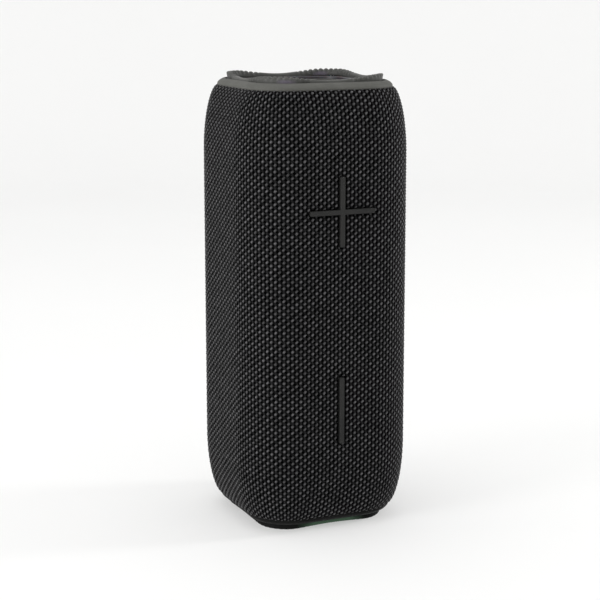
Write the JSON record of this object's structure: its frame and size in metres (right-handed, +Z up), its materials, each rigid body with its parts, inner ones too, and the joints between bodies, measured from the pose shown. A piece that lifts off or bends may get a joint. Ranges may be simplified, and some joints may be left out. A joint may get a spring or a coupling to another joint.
{
  "type": "portable bluetooth speaker",
  "caption": "Rounded-square fabric-wrapped speaker column with wavy rubber end bumpers, raised plus and minus keys, rear buttons, socket flap and end radiators.",
  "frame": {"origin": "centre of the footprint, on the plane that the bottom bumper's crests stand on", "axes": "+Z up along the column, -Y out through the front with the plus and minus keys, +X to the right seen from the front"},
  "size_m": [0.08, 0.0812, 0.1979],
  "materials": {
    "woven_fabric": "coarse plain weave, dark yarn with a slight sheen",
    "shell_plastic": "fine texture",
    "lip_rubber": "matte olive grey",
    "bumper_rubber": "matte dark grey, ridged crests",
    "key_rubber": "matte black",
    "light_diffuser": "milky, light-spreading",
    "board_green": "glass-epoxy board",
    "frame_plastic": "moulded",
    "radiator_rubber": "soft, satin",
    "radiator_metal": "satin",
    "steel": "plated",
    "magnet": "dark plated",
    "cone_paper": "pressed pulp",
    "spider_cloth": "resin-treated cloth",
    "gasket_foam": "closed-cell foam",
    "cell_wrap": "shrink wrap"
  },
  "bodies": {
    "cabinet": {"fabric_sleeve": "woven_fabric", "grille_shell": "shell_plastic", "end_ring_top": "lip_rubber", "end_ring_bottom": "lip_rubber", "wave_bumper_top": "bumper_rubber", "wave_bumper_bottom": "bumper_rubber", "light_ring_top": "light_diffuser", "light_ring_bottom": "light_diffuser", "led_board_top": "board_green", "led_board_bottom": "board_green", "radiator_frame_top": "frame_plastic", "radiator_frame_bottom": "frame_plastic", "radiator_surround_top": "radiator_rubber", "radiator_surround_bottom": "radiator_rubber", "end_screw_top_1": "steel", "end_screw_top_2": "steel", "end_screw_top_3": "steel", "end_screw_top_4": "steel", "end_screw_bottom_1": "steel", "end_screw_bottom_2": "steel", "end_screw_bottom_3": "steel", "end_screw_bottom_4": "steel", "inner_chassis": "frame_plastic", "driver_basket_front": "steel", "driver_basket_rear": "steel", "driver_magnet_front": "magnet", "driver_magnet_rear": "magnet", "driver_surround_front": "radiator_rubber", "driver_surround_rear": "radiator_rubber", "driver_spider_front": "spider_cloth", "driver_spider_rear": "spider_cloth", "driver_gasket_front": "gasket_foam", "driver_gasket_rear": "gasket_foam", "battery_cell_1": "cell_wrap", "battery_cell_2": "cell_wrap", "battery_bracket": "frame_plastic", "main_board": "board_green", "plus_board": "board_green", "minus_board": "board_green", "button_board": "board_green", "control_strip": "key_rubber", "port_tray": "shell_plastic", "usb_port": "steel", "aux_jack": "steel", "card_slot": "steel"},
    "plus_key": {"plus_key": "key_rubber"},
    "minus_key": {"minus_key": "key_rubber"},
    "power_button": {"power_button": "key_rubber"},
    "pairing_button": {"pairing_button": "key_rubber"},
    "play_button": {"play_button": "key_rubber"},
    "light_button": {"light_button": "key_rubber"},
    "port_flap": {"port_flap": "key_rubber"},
    "radiator_top": {"radiator_plate_top": "radiator_metal"},
    "radiator_bottom": {"radiator_plate_bottom": "radiator_metal"},
    "cone_front": {"driver_cone_front": "cone_paper"},
    "cone_rear": {"driver_cone_rear": "cone_paper"}
  },
  "joints": [
    {"name": "plus_press", "type": "slide", "parent": "cabinet", "child": "plus_key", "axis": [0, 1, 0], "range_m": [0, 0.0006], "stiffness_N_per_m": 400},
    {"name": "minus_press", "type": "slide", "parent": "cabinet", "child": "minus_key", "axis": [0, 1, 0], "range_m": [0, 0.0006], "stiffness_N_per_m": 400},
    {"name": "power_press", "type": "slide", "parent": "cabinet", "child": "power_button", "axis": [0, -1, 0], "range_m": [0, 0.0006], "stiffness_N_per_m": 400},
    {"name": "pairing_press", "type": "slide", "parent": "cabinet", "child": "pairing_button", "axis": [0, -1, 0], "range_m": [0, 0.0006], "stiffness_N_per_m": 400},
    {"name": "play_press", "type": "slide", "parent": "cabinet", "child": "play_button", "axis": [0, -1, 0], "range_m": [0, 0.0006], "stiffness_N_per_m": 400},
    {"name": "light_press", "type": "slide", "parent": "cabinet", "child": "light_button", "axis": [0, -1, 0], "range_m": [0, 0.0006], "stiffness_N_per_m": 400},
    {"name": "flap_hinge", "type": "hinge", "parent": "cabinet", "child": "port_flap", "pos_m": [0, 0.0406, 0.03885], "axis": [-1, 0, 0], "range_deg": [0, 110]},
    {"name": "radiator_top_slide", "type": "slide", "parent": "cabinet", "child": "radiator_top", "axis": [0, 0, 1], "range_m": [-0.003, 0.003], "stiffness_N_per_m": 3000, "deforming": ["radiator_surround_top"]},
    {"name": "radiator_bottom_slide", "type": "slide", "parent": "cabinet", "child": "radiator_bottom", "axis": [0, 0, -1], "range_m": [-0.003, 0.003], "stiffness_N_per_m": 3000, "deforming": ["radiator_surround_bottom"]},
    {"name": "cone_front_slide", "type": "slide", "parent": "cabinet", "child": "cone_front", "axis": [0, -1, 0], "range_m": [-0.0015, 0.0015], "stiffness_N_per_m": 2500, "deforming": ["driver_surround_front", "driver_spider_front"]},
    {"name": "cone_rear_slide", "type": "slide", "parent": "cabinet", "child": "cone_rear", "axis": [0, 1, 0], "range_m": [-0.0015, 0.0015], "stiffness_N_per_m": 2500, "deforming": ["driver_surround_rear", "driver_spider_rear"]}
  ]
}
